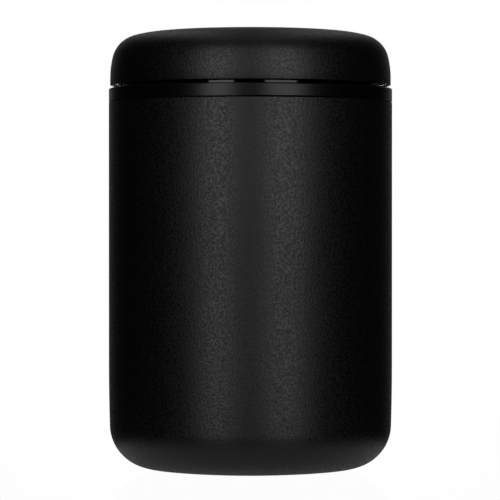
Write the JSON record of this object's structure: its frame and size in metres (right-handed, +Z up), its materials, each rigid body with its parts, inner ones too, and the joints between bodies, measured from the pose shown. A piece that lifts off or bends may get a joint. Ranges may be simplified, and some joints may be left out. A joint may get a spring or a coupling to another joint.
{
  "type": "vacuum coffee canister",
  "caption": "Matte black round steel canister for coffee beans with a domed cap that is twisted to and fro to pump the air out, and a push button that lets it back in.",
  "frame": {"origin": "on the table under the middle of the canister, at the underside of its foot ring", "axes": "+Z up along the axis of the canister; +X through the inlet valve of the pump; the front is -Y"},
  "size_m": [0.125, 0.125, 0.1925],
  "materials": {
    "powder_coat": "matte black powder coat with a fine grain, on drawn steel",
    "collar_plastic": "smooth satin black moulding",
    "button_plastic": "satin black moulding",
    "pump_plastic": "dark grey moulding",
    "bearing_plastic": "natural white moulding, slippery",
    "indicator_plastic": "green moulding",
    "silicone": "soft black silicone",
    "steel": "bare stainless steel"
  },
  "bodies": {
    "canister": {"canister_shell": "powder_coat", "foot_ring": "silicone"},
    "lid_base": {"lid_base": "collar_plastic", "lid_gasket": "silicone", "glide_ring": "bearing_plastic", "pump_cylinder": "pump_plastic", "cylinder_seal": "silicone", "cylinder_screws": "steel", "inlet_valve": "silicone", "filter_screen": "steel", "filter_grille": "pump_plastic"},
    "cap": {"cap_shell": "powder_coat", "cap_insert": "pump_plastic", "drive_sleeve": "bearing_plastic", "sleeve_screws": "steel", "button_bezel": "button_plastic", "button_spring": "steel"},
    "button": {"release_button": "button_plastic", "valve_stem": "bearing_plastic", "valve_poppet": "pump_plastic", "poppet_seal": "silicone", "indicator_spring": "steel"},
    "indicator": {"indicator_pin": "indicator_plastic", "indicator_seal": "silicone"},
    "piston": {"piston": "pump_plastic", "piston_seal": "silicone", "hub_seal": "silicone", "follower_pins": "steel", "outlet_valve": "silicone"}
  },
  "joints": [
    {"name": "lid_lift", "type": "slide", "parent": "canister", "child": "lid_base", "axis": [0, 0, 1], "range_m": [0, 0.12]},
    {"name": "cap_twist", "type": "hinge", "parent": "lid_base", "child": "cap", "pos_m": [0, 0, 0.17], "axis": [0, 0, 1], "range_deg": [0, 90]},
    {"name": "piston_stroke", "type": "slide", "parent": "lid_base", "child": "piston", "axis": [0, 0, 1], "range_m": [0, 0.016]},
    {"name": "button_press", "type": "slide", "parent": "cap", "child": "button", "axis": [0, 0, -1], "range_m": [0, 0.003], "stiffness_N_per_m": 400, "springref_m": -0.003, "deforming": ["button_spring"]},
    {"name": "indicator_drop", "type": "slide", "parent": "button", "child": "indicator", "axis": [0, 0, -1], "range_m": [0, 0.0025], "stiffness_N_per_m": 200, "springref_m": -0.002, "deforming": ["indicator_spring"]}
  ],
  "couplings": [
    {"joint": "piston_stroke", "follows": "cap_twist", "m_per_rad": 0.010186}
  ]
}
